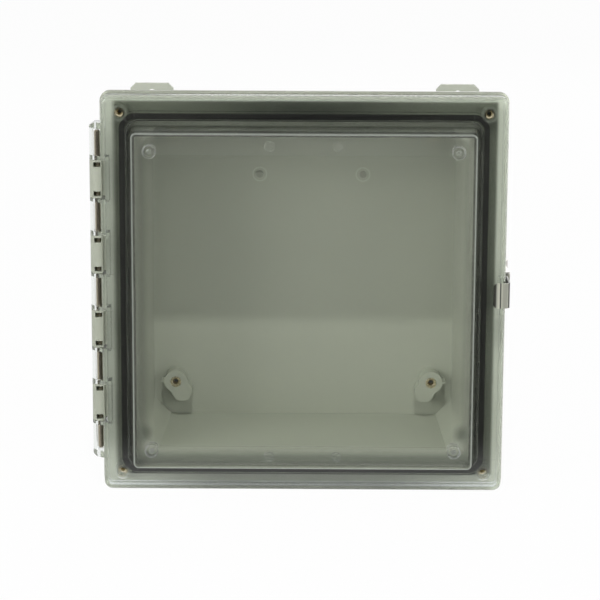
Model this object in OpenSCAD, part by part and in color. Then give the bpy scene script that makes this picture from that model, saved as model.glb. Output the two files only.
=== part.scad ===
// Wall-mounted hinged enclosure with a clear raised cover.
// The file is drawn in a wall frame: x across, y up and z out from the wall.
// stand() turns that frame so that the front faces -Y and +Z is up.

/* [Cover outline] */
// Width of the cover over its skirt
cover_w = 305; // [296:1:380]
// Height of the cover over its skirt
cover_h = 305; // [296:1:380]
// Corner radius of the cover seen from the front
cover_corner_r = 6.5; // [5:0.5:12]
// Radius of the rolled front edge of the cover
cover_edge_r = 4; // [3.5:0.5:5]
// Thickness of the skirt round the cover
skirt_t = 3.2; // [2.4:0.2:4]
// Length of the skirt from the flange front to its back edge
skirt_len = 16; // [15:0.5:22]
// Thickness of the cover flange
cover_flange_t = 3.6; // [2.5:0.1:4.5]

/* [Raised panel] */
// Height of the raised panel above the flange
panel_rise = 27; // [18:1:40]
// Thickness of the raised panel
panel_t = 3; // [2:0.25:4]
// Thickness of the step wall round the panel, measured across
step_t = 3.1; // [2.2:0.1:4]
// Distance that the step wall leans in over its height
step_lean = 6.4; // [4:0.2:8]
// Outer corner radius at the foot of the step wall
step_corner_r = 10; // [9.5:0.5:14]
// Radius of the front edge of the raised panel
panel_edge_r = 1.2; // [0.6:0.2:1.8]
// Margin from the panel edge to the shallow label recess
recess_margin = 17.5; // [14:0.5:30]
// Depth of the shallow recess
recess_depth = 0.5; // [0.3:0.1:1]
// Corner radius of the shallow recess
recess_r = 4; // [2:0.5:8]
// Outer radius of the round bosses inside the cover
cover_boss_r = 4.8; // [4:0.2:7]
// Length of the round bosses inside the cover
cover_boss_len = 7; // [5:1:16]
// Radius of the blind hole in a cover boss
cover_boss_hole_r = 2; // [1.5:0.1:2.6]
// Plastic left under the blind hole of a cover boss, above the panel's inner face
cover_boss_cap = 2; // [1:0.25:3]
// Distance from the panel edge to a cover boss
cover_boss_inset = 13.6; // [12:0.2:20]
// Outer radius of the plain rings moulded inside the cover
mould_ring_r = 3.6; // [2.5:0.1:5]
// Width of the wall of a plain ring
mould_ring_w = 0.8; // [0.5:0.1:1.2]
// Height of a plain ring
mould_ring_h = 0.4; // [0.2:0.1:1]
// Half distance between the two plain rings of a pair
mould_ring_x = 25.3; // [15:0.5:50]
// Distance from the panel edge to the plain rings
mould_ring_inset = 9.4; // [6:0.2:12]
// Distance from the cover's edge to the inner side of a raised corner pad
pad_reach = 25.4; // [22:0.2:26]
// Height of the raised corner pads on the cover flange
pad_h = 0.4; // [0.2:0.1:0.8]

/* [Seal] */
// Distance from the cover's edge to the middle of the gasket
gasket_inset = 16; // [15.5:0.1:17]
// Width of the gasket
gasket_w = 4; // [3:0.2:4.4]
// Thickness of the gasket
gasket_t = 3.2; // [2.4:0.2:4]
// Corner radius of the gasket at its middle
gasket_corner_r = 10; // [8:0.5:12]
// Thickness of the ribs on both sides of the gasket
rib_t = 1.5; // [1:0.1:1.6]
// Distance that the ribs reach past the gasket
rib_reach = 0.8; // [0.4:0.1:1.2]
// Width of the body's sealing tongue
tongue_w = 2.2; // [1.6:0.1:2.8]

/* [Body] */
// Depth of the body from its back to the back of its flange
body_depth = 96.3; // [80:0.5:160]
// Thickness of the body wall
wall_t = 4; // [3:0.25:5]
// Thickness of the body flange
flange_t = 4.3; // [3:0.1:5]
// Distance that the body flange stands out past the cover
flange_out = 1.3; // [0.6:0.1:2]
// Distance from the cover's edge to the inner mouth of the body
mouth_inset = 27.5; // [26:0.5:30]
// Distance that each wall leans in from the mouth to the back
wall_lean = 4.2; // [2:0.2:6]
// Corner radius of the body at its back
body_corner_r = 8; // [6:0.5:10]
// Size of the sloped inner corners
inner_chamfer = 13.5; // [11:0.5:18]
// Distance from the cover's edge to a panel boss across
panel_boss_in = 50; // [48.5:0.5:60]
// Distance from the cover's top edge to an upper panel boss
panel_boss_top = 42.1; // [41:0.1:60]
// Distance from the cover's bottom edge to a lower panel boss
panel_boss_bottom = 60.9; // [45:0.1:80]
// Radius of a panel boss
panel_boss_r = 9.2; // [7:0.2:10]
// Radius of the plain lobe beside a panel boss
panel_lobe_r = 7.9; // [5:0.2:8.5]
// Offset of the plain lobe inwards
panel_lobe_dx = 5.1; // [3:0.1:8]
// Offset of the plain lobe away from the middle
panel_lobe_dy = 8; // [6:0.1:10]
// Width of the small tab on the outer side of a panel boss
boss_tab_w = 1.5; // [1:0.25:3]
// How far the tab stands out from the boss
boss_tab_out = 2.5; // [1:0.25:3]
// Height of a panel boss above the back wall
panel_boss_h = 14; // [11:0.5:24]
// Radius of the two small pips on the back wall
pip_r = 2.6; // [1.5:0.1:4]
// Height of the two small pips
pip_h = 1.6; // [0.8:0.2:4]
// Half distance between the two pips
pip_x = 41; // [20:1:80]
// Distance of the middle of the pips right of the centre
pip_shift = 5.6; // [-10:0.2:10]
// Height of the pips above the centre
pip_y = 75.5; // [40:0.5:95]

/* [Inserts and feet] */
// Distance from the cover's edge to a corner insert
corner_inset = 14.1; // [13.8:0.1:14.3]
// Outer radius of a corner insert
corner_insert_r = 4; // [3.4:0.1:4.2]
// Thread radius of a corner insert
corner_thread_r = 2.1; // [1.5:0.1:2.5]
// Length of a corner insert
corner_insert_len = 10; // [8:0.5:12]
// Radius of the corner pad that holds an insert
corner_pad_r = 6.5; // [5.8:0.1:6.6]
// Radius of the screw hole in the cover's corner
cover_hole_r = 3; // [2.4:0.1:3]
// Radius of the counterbore in the cover's corner
counterbore_r = 5.2; // [4.4:0.1:5.8]
// Depth of the counterbore
counterbore_depth = 1.4; // [0.8:0.1:1.8]
// Outer radius of a panel insert
panel_insert_r = 4.4; // [3.6:0.1:5]
// Thread radius of a panel insert
panel_thread_r = 2.5; // [1.5:0.1:3]
// Length of a panel insert
panel_insert_len = 10; // [7:0.5:10]
// Thickness of a mounting foot
foot_t = 4; // [3:0.25:6]
// Width of a mounting foot at its base
foot_w = 34; // [32:1:38]
// Width of the flat outer end of a mounting foot
foot_flat = 26; // [18:1:30]
// Distance that a foot reaches past the body's back corner
foot_reach = 22.2; // [19:0.2:30]
// Radius of the wall screw hole in a foot
foot_hole_r = 3.25; // [2.5:0.25:4]
// Distance from the outer end of a foot to its wall hole
foot_hole_inset = 8; // [6.5:0.25:10]
// Shank radius of a foot screw
foot_screw_r = 2; // [1.5:0.1:2.1]
// Head radius of a foot screw
foot_screw_head_r = 3.8; // [3:0.1:4.2]
// Head height of a foot screw
foot_screw_head_h = 1.9; // [1.4:0.1:2.2]
// Length of a foot screw in the body
foot_screw_len = 10; // [6:0.5:14]

/* [Hinge] */
// Radius of the hinge pin
pin_r = 2.2; // [1.6:0.1:2.4]
// Distance from the cover's edge out to the pin
pin_out = 2.8; // [2.6:0.1:3.2]
// Distance of the pin behind the front of the cover flange
pin_back = 8; // [7.5:0.25:8.5]
// Outer radius of the hinge knuckles
knuckle_r = 5.9; // [5:0.1:6]
// Pitch of the hinge knuckles
knuckle_pitch = 28.8; // [22:0.2:29.4]
// Clearance between two knuckles
knuckle_gap = 0.4; // [0.3:0.1:1]
// Height of the middle of the hinge
hinge_rise = 2.2; // [-4:0.2:4]
// Thickness of the end walls of a cover knuckle
knuckle_end_t = 3; // [2:0.25:5]
// Thickness of the outermost end walls of the hinge
hinge_end_t = 4.8; // [3:0.2:6]
// Length of the arm pad on the cover flange
arm_len = 12; // [8:0.5:13]
// Height of the arm pad above the cover flange
arm_t = 1.2; // [0.6:0.1:2]
// Height of the small windows in a body knuckle
pocket_h = 3.7; // [2:0.1:5]
// Distance from a body knuckle's end to its window
pocket_inset = 1.3; // [1:0.1:3]

/* [Latch] */
// Height of the middle of the latch
latch_rise = 1.8; // [-6:0.2:6]
// Thickness of the latch sheet metal
sheet_t = 1.2; // [0.8:0.1:1.4]
// Width of the latch claw at its front
claw_w = 19.2; // [18.4:0.2:26]
// Width of the latch claw between the lever's cheeks
claw_neck_w = 15.2; // [10:0.2:15.4]
// Distance from the cover's edge out to the claw's outer face
claw_out = 3.6; // [3.5:0.1:4.4]
// Length of the claw's lip over the cover
claw_lip = 12.6; // [11.8:0.2:13]
// Bend radius of the claw, on its outside
claw_bend_r = 5; // [4:0.25:5]
// Distance of the lever pivot behind the front of the cover flange
pivot_back = 41; // [40:0.5:44]
// Distance of the lever pivot in from the cover's edge
pivot_in = 0.9; // [0.5:0.1:1.2]
// Distance from the lever pivot to the claw pin
crank_r = 6; // [5.6:0.1:6.4]
// Angle of the crank behind the sideways direction
crank_angle = 30; // [26:1:34]
// Radius of both latch pins
latch_pin_r = 1.5; // [1:0.1:1.6]
// Length of the lever from its pivot to its finger tab
lever_len = 44; // [36:1:60]
// Height of the keeper bead on the cover
keeper_h = 1.6; // [1:0.1:2]
// Width of the keeper bead
keeper_w = 4.3; // [3:0.1:4.4]
// Length of the keeper bead
keeper_len = 29.6; // [24:0.2:40]
// Thickness of the latch apron on the body
apron_t = 3.5; // [2.5:0.25:5]
// Height of the latch apron
apron_h = 48; // [46:1:70]
// Depth of the latch apron behind the flange
apron_len = 48; // [46:1:60]

/* [Hidden] */
$fn = 48;

// Clearances
run_fit = 0.05;      // a pin in its bore, on the radius
seat_fit = 0.02;     // an insert or screw in its hole, on the radius
part_gap = 0.4;      // between the closed cover and the body
soft_gap = 0.3;      // between the gasket and the tongue
side_gap = 0.15;     // between the gasket and its ribs
step_gap = 0.35;     // from the gasket's inner side gap to the foot of the step wall
screw_gap = 0.3;     // round a screw or its head, on the radius
over = 1;            // how far a cut runs past a face

// Depths, measured out from the wall
back_d = foot_t;
floor_d = back_d + wall_t;
flange_back_d = back_d + body_depth;
flange_d = flange_back_d + flange_t;
skirt_d = flange_d + part_gap;
front_d = skirt_d + skirt_len;
plate_d = front_d - cover_flange_t;
top_d = front_d + panel_rise;
rib_d = plate_d - gasket_t - rib_reach;
tongue_d = plate_d - gasket_t - soft_gap;

// Half sizes seen from the front
half_w = cover_w / 2;
half_h = cover_h / 2;
rim_w = half_w + flange_out;
rim_h = half_h + flange_out;
mouth_w = half_w - mouth_inset;
mouth_h = half_h - mouth_inset;
seal_w = half_w - gasket_inset;
seal_h = half_h - gasket_inset;
step_w = seal_w - gasket_w / 2 - side_gap - step_gap;
step_h = seal_h - gasket_w / 2 - side_gap - step_gap;
edge_w = step_w - step_lean;
edge_h = step_h - step_lean;
back_w = mouth_w + wall_t - wall_lean;
back_h = mouth_h + wall_t - wall_lean;
boss_x = half_w - panel_boss_in;
boss_y = [half_h - panel_boss_top, -half_h + panel_boss_bottom];
lobe_y = [min(panel_lobe_dy, back_h - wall_t / 2 - panel_lobe_r - boss_y[0]), -panel_lobe_dy];

// Corner pads and inserts
corner_x = half_w - corner_inset;
corner_y = half_h - corner_inset;
pad_rise = 6.4;
pad_d = flange_d + pad_rise;
pad_depth = 12;
cover_post_r = 4.6;
post_gap = 0.4;
insert_end = 4;
bush_bevel = 0.4;

// Feet
foot_in = 3.8;          // middle of a foot in from the body's back edge
foot_lap = 16.8;        // length of a foot behind the body
foot_screw_in = 8.3;    // foot screw in from the body's back edges
head_gap = 0.2;         // from the wall to a foot screw's head
slot_l = 5;             // length and width of the cross in its head
slot_w = 0.8;
slot_d = 1;
foot_x = back_w - foot_in;
foot_end = back_h + foot_reach;
foot_root = back_h - foot_lap;
foot_hole_y = foot_end - foot_hole_inset;
foot_screw_x = back_w - foot_screw_in;
foot_screw_y = back_h - foot_screw_in;

// Hinge
pin_x = -(half_w + pin_out);
pin_d = front_d - pin_back;
notch_x = pin_x + knuckle_r + knuckle_gap;
knuckle_len = knuckle_pitch - knuckle_gap;
hinge_half = 4.5 * knuckle_pitch;
end_play = 1.4;
pin_half = hinge_half - hinge_end_t - end_play;
window_lap = 0.3;       // a knuckle's window starts this far inside the cover's edge
window_room = 0.2;      // and ends this far beyond the pin
window_in = half_w - window_lap;
window_w = pin_r + window_room - pin_x - window_in;
leg_lap = 0.6;          // a body knuckle ends this far inside the cover's edge
leg_x = -(half_w - leg_lap);
leg_foot = 3;           // the knuckle's leg reaches this far behind the flange
leg_in = 2;             // and this far inside the cover's edge
scallop_t = 2.6;
pocket_room = 0.45;     // from the pin to each side of its pocket
pocket_w = 2 * (pin_r + pocket_room);
hinge_cut = 3.4;        // slope of the two ends of the hinge

// Latch
claw_x = half_w + claw_out;
pivot_x = half_w - pivot_in;
pivot_d = front_d - pivot_back;
crank_x = pivot_x + crank_r * cos(crank_angle);
crank_d = pivot_d - crank_r * sin(crank_angle);
keeper_in = 3.8;        // middle of the keeper bead in from the cover's edge
keeper_x = half_w - keeper_in;
keeper_d = front_d + keeper_h;
lip_d = keeper_d + soft_gap;
eye_r = latch_pin_r + sheet_t;
ear_rim = 1.1;
ear_r = latch_pin_r + ear_rim;
cheek_gap = 0.6;        // between the claw and the lever's cheeks
ear_gap = 0.3;          // between the cheeks and the base's ears
cheek_z = claw_neck_w / 2 + cheek_gap;
ear_z = cheek_z + sheet_t + ear_gap;
base_x = pivot_x - ear_r - ear_gap;
ear_half = 6;           // half length of an ear along the base
apron_x = base_x - sheet_t;
base_back = 20;
base_front = 15;
rivet_d = [pivot_d - 14, pivot_d + 10];
rivet_r = 1.6;
rivet_head_r = 2.6;
rivet_head_h = 0.8;
tab_reach = 5;
curl_r = 1.6;           // the claw's curled tip
curl_drop = 2.2;
claw_corner = 2;        // cut corners of the claw's lip
neck_len = 18;          // length of the claw's narrow part past its eye
pin_head_h = 0.8;
guard_x = half_w + 3.3;
guard_h = 8;
guard_d = 8;
guard_bevel = 2;
gusset_t = 3;
gusset_rise = 22;       // slope of a gusset from the apron's end to the wall
apron_lap = 1;          // the apron starts this far behind the flange's front
apron_root = 1.5;       // and its gussets this far outside the mouth

// ---------- helpers ----------

// Turn the wall frame so that the front faces -Y and +Z is up
module stand() {
    rotate([90, 0, 0]) children();
}

// Rounded rectangle of half sizes hx and hy
module rounded(hx, hy, r) {
    square([2 * (hx - r), 2 * hy], center = true);
    square([2 * hx, 2 * (hy - r)], center = true);
    for (sx = [-1, 1], sy = [-1, 1])
        translate([sx * (hx - r), sy * (hy - r)]) circle(r);
}

// Flat plate from depth d0 to d1 of a 2D outline
module plate(d0, d1) {
    translate([0, 0, d0]) linear_extrude(d1 - d0) children();
}

// Carry a profile (distance from the corner centres, depth) round a rectangle
module edge_ring(hx, hy, r) {
    for (i = [0:3]) {
        off = (i % 2 == 0 ? hx : hy) - r;
        run = (i % 2 == 0 ? hy : hx) - r;
        rotate([0, 0, 90 * i]) {
            translate([off, run, 0]) rotate([90, 0, 0]) linear_extrude(2 * run) children();
            translate([off, run, 0]) rotate_extrude(angle = 90) children();
        }
    }
}

// Extrude a (x, depth) profile upwards from height y0 to y1
module rail(y0, y1) {
    translate([0, y1, 0]) rotate([90, 0, 0]) linear_extrude(y1 - y0) children();
}

// Upright round rod at (x, depth) from height y0 to y1
module rod(x, d, r, y0, y1) {
    rail(y0, y1) translate([x, d]) circle(r);
}

// Points of an arc about c from angle a0 to a1
function arc(c, r, a0, a1, n = 6) =
    [for (i = [0:n]) let (a = a0 + (a1 - a0) * i / n) [c[0] + r * cos(a), c[1] + r * sin(a)]];

// Put a child at the four places (+-x, +-y)
module at_corners(x, y) {
    for (sx = [-1, 1], sy = [-1, 1]) translate([sx * x, sy * y, 0]) children();
}

// Block between depths d0 and d1 whose four sides and four corners lean evenly
module lean_block(hx0, hx1, hy0, hy1, c, d0, d1) {
    g0 = (hx0 + hy0 - c) / sqrt(2);
    g1 = (hx1 + hy1 - c) / sqrt(2);
    far = hx1 + hy1;
    intersection() {
        rail(-far, far) polygon([[-hx0, d0], [hx0, d0], [hx1, d1], [-hx1, d1]]);
        rotate([0, 0, 90]) rail(-far, far) polygon([[-hy0, d0], [hy0, d0], [hy1, d1], [-hy1, d1]]);
        rotate([0, 0, 45]) rail(-far, far) polygon([[-g0, d0], [g0, d0], [g1, d1], [-g1, d1]]);
        rotate([0, 0, -45]) rail(-far, far) polygon([[-g0, d0], [g0, d0], [g1, d1], [-g1, d1]]);
    }
}

// Heights of the middles of the hinge knuckles, every second one of n
function knuckle_y(n) = [for (i = [0:n - 1]) hinge_rise + (2 * i - (n - 1)) * knuckle_pitch];

// ---------- enclosure body ----------

// Outside of the box: walls that lean in towards the back, round corners
module body_outside() {
    r0 = body_corner_r;
    r1 = body_corner_r + wall_lean;
    cx = back_w - body_corner_r;
    cy = back_h - body_corner_r;
    plate(back_d, flange_d) square([2 * cx, 2 * cy], center = true);
    edge_ring(back_w, back_h, body_corner_r)
        polygon([[0, back_d], [r0, back_d], [r1, flange_back_d], [r1, flange_d], [0, flange_d]]);
}

// Room inside the box, with sloped corners
module body_inside() {
    reach = (flange_d + over - floor_d) / (flange_back_d - floor_d);
    lean_block(mouth_w - wall_lean, mouth_w + (reach - 1) * wall_lean,
               mouth_h - wall_lean, mouth_h + (reach - 1) * wall_lean,
               inner_chamfer, floor_d, flange_d + over);
}

// One boss for the inner panel: a round lobe, a plain smaller lobe and a small outer tab
module panel_boss(sx, dy) {
    h = floor_d + panel_boss_h;
    plate(floor_d - over, h) {
        circle(panel_boss_r);
        translate([-sx * panel_lobe_dx, dy]) circle(panel_lobe_r);
        translate([sx * panel_boss_r, 0]) square([2 * boss_tab_out, boss_tab_w], center = true);
    }
}

// Put a child at the four panel bosses
module at_bosses() {
    for (sx = [-1, 1], y = boss_y) translate([sx * boss_x, y, 0]) children();
}

// Solid part of a body knuckle, in (x, depth)
module body_knuckle_outline() {
    difference() {
        translate([pin_x, pin_d]) circle(knuckle_r);
        translate([leg_x, pin_d - 2 * knuckle_r]) square([2 * knuckle_r, 4 * knuckle_r]);
    }
    polygon([[leg_x, pin_d], [pin_x - knuckle_r, pin_d], [pin_x - knuckle_r, flange_d],
             [-rim_w, flange_back_d - leg_foot], [-half_w + leg_in, flange_back_d - leg_foot],
             [-half_w + leg_in, flange_d], [leg_x, flange_d]]);
}

// Apron and gussets that carry the latch on the right side
module latch_apron() {
    y0 = latch_rise - apron_h / 2;
    y1 = latch_rise + apron_h / 2;
    end_d = flange_d - apron_len - flange_t;
    root_d = flange_d - apron_lap;
    wall_x = mouth_w + apron_root;
    lap_x = apron_x - apron_lap;
    rail(y0, y1) polygon([[apron_x - apron_t, end_d], [apron_x, end_d],
                          [apron_x, root_d], [apron_x - apron_t, root_d]]);
    for (y = [y0, y1 - gusset_t])
        rail(y, y + gusset_t) polygon([[wall_x, root_d], [wall_x, end_d + gusset_rise],
                                       [apron_x - apron_t, end_d], [lap_x, end_d],
                                       [lap_x, root_d]]);
    for (y = [y0 + soft_gap, y1 - guard_h - soft_gap])
        rail(y, y + guard_h)
            polygon([[lap_x, pivot_d - guard_d], [guard_x - guard_bevel, pivot_d - guard_d],
                     [guard_x, pivot_d - guard_d + guard_bevel], [guard_x, pivot_d],
                     [lap_x, pivot_d]]);
}

module enclosure_body() {
    color([0.74, 0.75, 0.71]) stand() difference() {
        union() {
            difference() {
                union() {
                    body_outside();
                    plate(flange_back_d, flange_d) rounded(rim_w, rim_h, cover_corner_r + flange_out);
                    at_corners(corner_x, corner_y) plate(flange_d - pad_depth, pad_d) circle(corner_pad_r);
                }
                body_inside();
            }
            edge_ring(seal_w, seal_h, gasket_corner_r)
                translate([gasket_corner_r - tongue_w / 2, flange_d - over])
                    square([tongue_w, tongue_d - flange_d + over]);
            for (sx = [-1, 1], i = [0, 1])
                translate([sx * boss_x, boss_y[i], 0]) panel_boss(sx, lobe_y[i]);
            for (sx = [-1, 1])
                translate([sx * pip_x + pip_shift, pip_y, 0])
                    plate(floor_d - over, floor_d + pip_h) circle(pip_r);
            for (y = knuckle_y(4)) rail(y - knuckle_len / 2, y + knuckle_len / 2) body_knuckle_outline();
            latch_apron();
        }
        at_corners(corner_x, corner_y) {
            plate(pad_d - corner_insert_len, pad_d + over) circle(corner_insert_r);
            plate(pad_d - corner_insert_len - insert_end, pad_d) circle(corner_thread_r + screw_gap);
        }
        at_bosses()
            plate(floor_d + panel_boss_h - panel_insert_len, floor_d + panel_boss_h + over)
                circle(panel_insert_r);
        at_corners(foot_screw_x, foot_screw_y)
            plate(back_d - over, back_d + foot_screw_len + part_gap) circle(foot_screw_r + seat_fit);
        rod(pin_x, pin_d, pin_r + run_fit, hinge_rise - hinge_half, hinge_rise + hinge_half);
        for (y = knuckle_y(4), s = [-1, 1])
            translate([pin_x, y + s * (knuckle_len / 2 - pocket_inset - pocket_h / 2), pin_d])
                cube([pocket_w, pocket_h, 2 * (knuckle_r + over)], center = true);
        for (d = rivet_d)
            translate([apron_x, latch_rise, d]) rotate([0, 90, 0])
                cylinder(r = rivet_r + seat_fit, h = 4 * apron_t, center = true);
    }
}

// ---------- clear cover ----------

// Skirt, rolled edge and outer strip of the flange, from the corner centres out
module cover_edge_outline() {
    r = cover_corner_r;
    polygon(concat([[r - skirt_t, skirt_d], [r, skirt_d]],
                   arc([r - cover_edge_r, front_d - cover_edge_r], cover_edge_r, 0, 90),
                   [[0, front_d], [0, plate_d], [r - skirt_t, plate_d]]));
}

// Leaning step wall with the outer strip of the raised panel
module step_outline() {
    r = step_corner_r;
    slope = step_lean / panel_rise;
    tip = r - step_lean;
    rib_in = r - step_t;
    polygon(concat([[rib_in, rib_d], [r, rib_d], [r, front_d]],
                   arc([tip - panel_edge_r + slope, top_d - panel_edge_r], panel_edge_r, 0, 90, 4),
                   [[0, top_d], [0, top_d - panel_t],
                    [tip + slope * panel_t - step_t, top_d - panel_t], [rib_in, front_d - over]]));
}

// Solid part of a cover knuckle with the arm that joins it to the flange
module cover_knuckle_outline() {
    translate([pin_x, pin_d]) circle(knuckle_r);
    polygon([[pin_x, pin_d - knuckle_r], [-half_w + over, pin_d - knuckle_r],
             [-half_w + over, pin_d + knuckle_r], [pin_x, pin_d + knuckle_r]]);
    polygon([[pin_x, pin_d + knuckle_r - skirt_t], [pin_x, pin_d + knuckle_r],
             [-half_w + arm_t, front_d + arm_t], [-half_w + arm_len, front_d + arm_t],
             [-half_w + arm_len, front_d - arm_t], [-half_w + cover_edge_r, front_d - skirt_t]]);
}

// Window through a cover knuckle that shows the pin
module knuckle_window(y0, y1) {
    translate([-window_in - window_w / 2, (y0 + y1) / 2, pin_d])
        cube([window_w, y1 - y0, 4 * knuckle_r], center = true);
}

// Sloped cuts that take the outer corners off both ends of the hinge
module hinge_end_cuts() {
    far = pin_x - knuckle_r - over;
    for (s = [-1, 1]) translate([0, hinge_rise + s * (hinge_half - knuckle_gap / 2), 0])
        plate(pin_d - 2 * knuckle_r, pin_d + 2 * knuckle_r)
            polygon([[far, -s * hinge_cut], [-half_w - hinge_cut, s * over], [far, s * over]]);
}

// Raised pad over one corner of the cover flange, between the skirt and the step wall
module corner_pad(sx, sy) {
    r = cover_corner_r;
    in_w = half_w - pad_reach;
    in_h = half_h - pad_reach;
    out_w = half_w - cover_edge_r;
    out_h = half_h - cover_edge_r;
    plate(front_d - over, front_d + pad_h) mirror([sx < 0 ? 1 : 0, 0]) mirror([0, sy < 0 ? 1 : 0])
        polygon(concat([[in_w, in_h], [out_w, in_h]],
                       arc([half_w - r, half_h - r], r - cover_edge_r, 0, 90), [[in_w, out_h]]));
}

module clear_cover() {
    color([0.85, 0.9, 0.9, 0.35]) stand() difference() {
        union() {
            difference() {
                union() {
                    plate(plate_d, front_d)
                        square([2 * (half_w - cover_corner_r), 2 * (half_h - cover_corner_r)], center = true);
                    edge_ring(half_w, half_h, cover_corner_r) cover_edge_outline();
                    edge_ring(seal_w, seal_h, gasket_corner_r)
                        translate([gasket_corner_r + gasket_w / 2 + side_gap, rib_d])
                            square([rib_t, plate_d - rib_d + over]);
                    at_corners(corner_x, corner_y)
                        plate(pad_d + post_gap, plate_d + over) circle(cover_post_r);
                    for (sx = [-1, 1], sy = [-1, 1]) corner_pad(sx, sy);
                }
                plate(plate_d - over, front_d + over)
                    rounded(step_w - step_t, step_h - step_t, step_corner_r - step_t);
                at_corners(corner_x, corner_y) {
                    plate(pad_d, front_d + over) circle(cover_hole_r);
                    plate(front_d - counterbore_depth, front_d + over) circle(counterbore_r);
                }
                for (y = knuckle_y(4))
                    translate([-half_w - over, y - knuckle_len / 2 - knuckle_gap, skirt_d - over])
                        cube([half_w + over + notch_x, knuckle_len + 2 * knuckle_gap,
                              skirt_len + 2 * over]);
            }
            edge_ring(step_w, step_h, step_corner_r) step_outline();
            plate(top_d - panel_t, top_d)
                square([2 * (step_w - step_corner_r), 2 * (step_h - step_corner_r)], center = true);
            at_corners(edge_w - cover_boss_inset, edge_h - cover_boss_inset)
                plate(top_d - panel_t - cover_boss_len, top_d - panel_t + over / 2) circle(cover_boss_r);
            for (sx = [-1, 1], sy = [-1, 1])
                translate([sx * mould_ring_x, sy * (edge_h - mould_ring_inset), 0])
                    plate(top_d - panel_t - mould_ring_h, top_d - panel_t + over / 2) difference() {
                        circle(mould_ring_r);
                        circle(mould_ring_r - mould_ring_w);
                    }
            for (y = knuckle_y(5)) rail(y - knuckle_len / 2, y + knuckle_len / 2) cover_knuckle_outline();
            for (y = knuckle_y(4))
                translate([notch_x, y - knuckle_pitch / 2 - scallop_t, skirt_d])
                    cube([scallop_t, knuckle_pitch + 2 * scallop_t, plate_d - skirt_d + over]);
            translate([keeper_x - keeper_w / 2, latch_rise - keeper_len / 2, front_d - cover_edge_r])
                cube([keeper_w, keeper_len, keeper_h + cover_edge_r]);
        }
        plate(top_d - recess_depth, top_d + over)
            rounded(edge_w - recess_margin, edge_h - recess_margin, recess_r);
        at_corners(edge_w - cover_boss_inset, edge_h - cover_boss_inset)
            plate(top_d - panel_t - cover_boss_len - over, top_d - panel_t - cover_boss_cap)
                circle(cover_boss_hole_r);
        rod(pin_x, pin_d, pin_r + run_fit, hinge_rise - pin_half - end_play, hinge_rise + pin_half + end_play);
        for (i = [0:4]) {
            y = knuckle_y(5)[i];
            low = i == 0 ? hinge_end_t : knuckle_end_t;
            high = i == 4 ? hinge_end_t : knuckle_end_t;
            knuckle_window(y - knuckle_len / 2 + low, y + knuckle_len / 2 - high);
        }
        hinge_end_cuts();
    }
}

module gasket() {
    color([0.1, 0.1, 0.1]) stand() edge_ring(seal_w, seal_h, gasket_corner_r)
        translate([gasket_corner_r - gasket_w / 2, plate_d - gasket_t]) square([gasket_w, gasket_t]);
}

// ---------- pins, inserts, feet and screws ----------

module hinge_pin() {
    chamfer = pin_r / 2;
    color([0.75, 0.74, 0.72]) stand() translate([pin_x, hinge_rise + pin_half, pin_d]) rotate([90, 0, 0])
        rotate_extrude() polygon([[0, 0], [pin_r - chamfer, 0], [pin_r, chamfer],
                                  [pin_r, 2 * pin_half - chamfer], [pin_r - chamfer, 2 * pin_half],
                                  [0, 2 * pin_half]]);
}

// Threaded brass bush with a groove round its middle
module bush(r, bore, len) {
    e = bush_bevel;
    groove = [[r, len * 0.4], [r - e, len * 0.45], [r - e, len * 0.55], [r, len * 0.6]];
    rotate_extrude() polygon(concat([[bore + e, 0], [r - e, 0], [r, e]], groove,
                                    [[r, len - e], [r - e, len], [bore + e, len],
                                     [bore, len - e], [bore, e]]));
}

// Sign of corner i: 1 top left, 2 top right, 3 bottom right, 4 bottom left
function corner_sx(i) = (i == 1 || i == 4) ? -1 : 1;
function corner_sy(i) = (i <= 2) ? 1 : -1;

module corner_insert(i) {
    color([0.75, 0.6, 0.3]) stand()
        translate([corner_sx(i) * corner_x, corner_sy(i) * corner_y, pad_d - corner_insert_len])
            bush(corner_insert_r - seat_fit, corner_thread_r, corner_insert_len);
}

module panel_insert(i) {
    color([0.75, 0.6, 0.3]) stand()
        translate([corner_sx(i) * boss_x, boss_y[i <= 2 ? 0 : 1],
                   floor_d + panel_boss_h - panel_insert_len])
            bush(panel_insert_r - seat_fit, panel_thread_r, panel_insert_len);
}

// Moulded foot that reaches past the box, above or below it
module mounting_foot(i) {
    slope = (foot_w - foot_flat) / 2;
    sx = corner_sx(i);
    sy = corner_sy(i);
    color([0.72, 0.73, 0.69]) stand() mirror([sx < 0 ? 1 : 0, 0, 0]) mirror([0, sy < 0 ? 1 : 0, 0])
        difference() {
            plate(0, foot_t) polygon([[foot_x - foot_w / 2, foot_root], [foot_x + foot_w / 2, foot_root],
                                      [foot_x + foot_w / 2, foot_end - slope],
                                      [foot_x + foot_flat / 2, foot_end], [foot_x - foot_flat / 2, foot_end],
                                      [foot_x - foot_w / 2, foot_end - slope]]);
            translate([foot_x, foot_hole_y, 0]) plate(-over, foot_t + over) circle(foot_hole_r);
            translate([foot_screw_x, foot_screw_y, 0]) {
                plate(-over, foot_t + over) circle(foot_screw_r + screw_gap);
                plate(-over, foot_screw_head_h + head_gap) circle(foot_screw_head_r + screw_gap);
            }
        }
}

module foot_screw(i) {
    color([0.6, 0.6, 0.6]) stand()
        translate([corner_sx(i) * foot_screw_x, corner_sy(i) * foot_screw_y, 0]) difference() {
            union() {
                plate(head_gap, foot_screw_head_h + head_gap) circle(foot_screw_head_r);
                plate(foot_screw_head_h, back_d + foot_screw_len) circle(foot_screw_r);
            }
            plate(0, head_gap + slot_d) {
                square([slot_l, slot_w], center = true);
                square([slot_w, slot_l], center = true);
            }
        }
}

// ---------- latch ----------

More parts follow.
